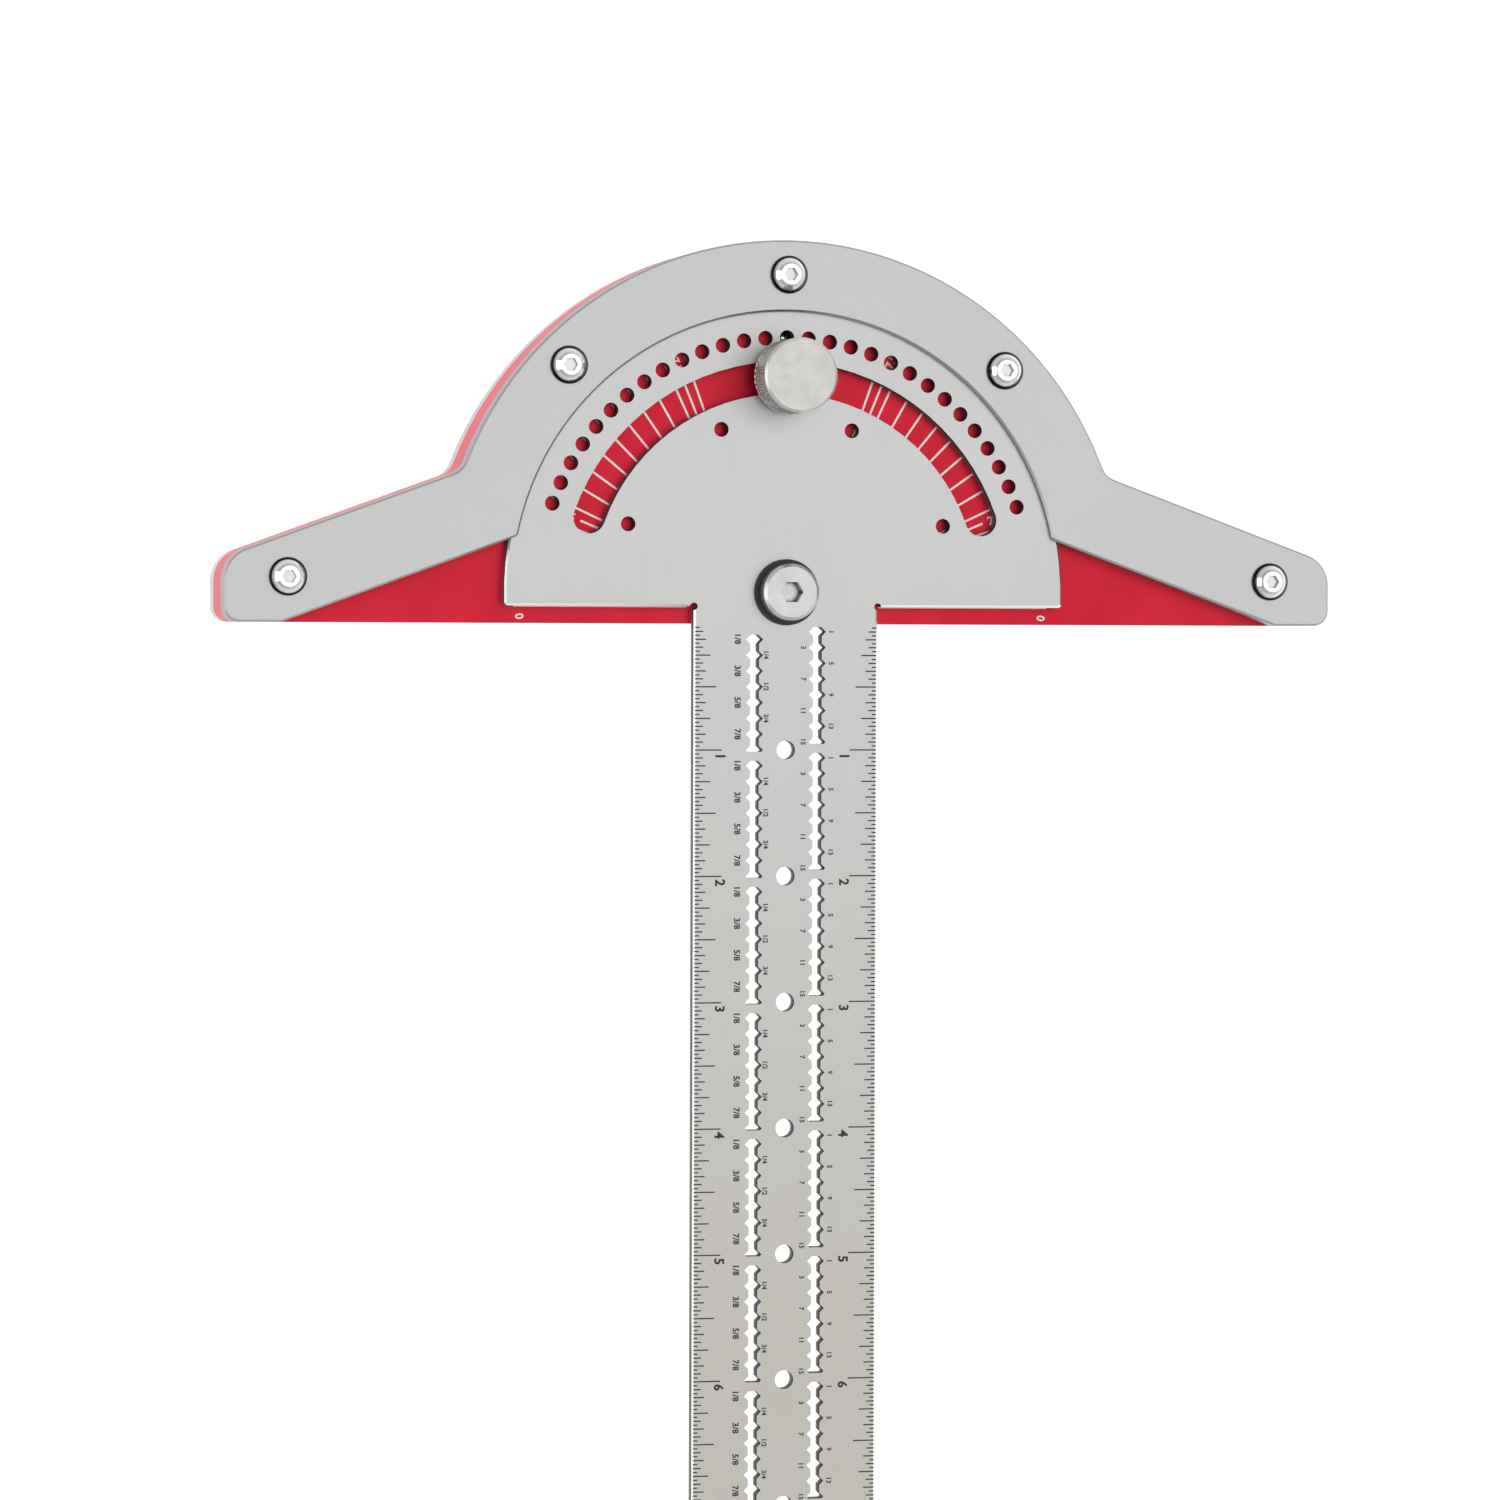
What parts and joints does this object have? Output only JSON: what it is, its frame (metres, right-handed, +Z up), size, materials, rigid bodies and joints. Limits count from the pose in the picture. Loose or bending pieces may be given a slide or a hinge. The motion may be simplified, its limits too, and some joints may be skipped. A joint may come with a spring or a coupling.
{
  "type": "t-square protractor",
  "caption": "T-square protractor: slotted steel rule with a half-disc head that swings in a layered fence, with angle stops and a clamp knob.",
  "frame": {"origin": "centre of the fence body's working face, on the rule's inch zero and centre line", "axes": "+X to the right along the fence, +Y from the working face towards the ring, -Y along the rule, +Z up out of the face with the scales"},
  "size_m": [0.2286, 0.3374, 0.0296],
  "materials": {
    "stainless_plate": "finely brushed stainless, etched black marks",
    "satin_plate": "satin",
    "red_anodised": "satin red anodised, white engraved scale",
    "clear_anodised": "satin clear anodised",
    "polished_steel": "polished",
    "bronze": "machined",
    "black_acetal": "satin black",
    "zinc_steel": "bright zinc plated",
    "knob_metal": "turned face, knurled rim",
    "spring_steel": "drawn wire"
  },
  "bodies": {
    "fence": {"fence_body": "red_anodised", "top_frame": "satin_plate", "base_plate": "clear_anodised", "frame_screw_top": "polished_steel", "frame_screw_ring_left": "polished_steel", "frame_screw_ring_right": "polished_steel", "frame_screw_tip_left": "polished_steel", "frame_screw_tip_right": "polished_steel", "pivot_screw": "polished_steel", "pivot_washer": "black_acetal", "clamp_stud": "zinc_steel", "outer_stop_spring": "spring_steel", "inner_stop_spring": "spring_steel"},
    "blade": {"rule_blade": "stainless_plate", "pivot_bush": "bronze"},
    "clamp_slider": {"clamp_washer": "zinc_steel"},
    "knob": {"clamp_knob": "knob_metal", "clamp_clip": "spring_steel"},
    "outer_ball": {"outer_stop_ball": "polished_steel"},
    "inner_ball": {"inner_stop_ball": "polished_steel"}
  },
  "joints": [
    {"name": "blade_swing", "type": "hinge", "parent": "fence", "child": "blade", "pos_m": [0, 0.00635, 0], "axis": [0, 0, 1], "range_deg": [-70, 70]},
    {"name": "clamp_lift", "type": "slide", "parent": "fence", "child": "clamp_slider", "axis": [0, 0, 1], "range_m": [0, 0.004]},
    {"name": "knob_turn", "type": "hinge", "parent": "clamp_slider", "child": "knob", "pos_m": [0, 0.04955, 0], "axis": [0, 0, 1], "range_deg": [0, 1440]},
    {"name": "outer_ball_travel", "type": "slide", "parent": "fence", "child": "outer_ball", "axis": [0, 0, 1], "range_m": [0, 0.0006], "stiffness_N_per_m": 300, "deforming": ["outer_stop_spring"]},
    {"name": "inner_ball_travel", "type": "slide", "parent": "fence", "child": "inner_ball", "axis": [0, 0, 1], "range_m": [-0.0005, 0], "stiffness_N_per_m": 300, "deforming": ["inner_stop_spring"]}
  ],
  "couplings": [
    {"joint": "knob_turn", "follows": "clamp_lift", "rad_per_m": 6283.2}
  ]
}
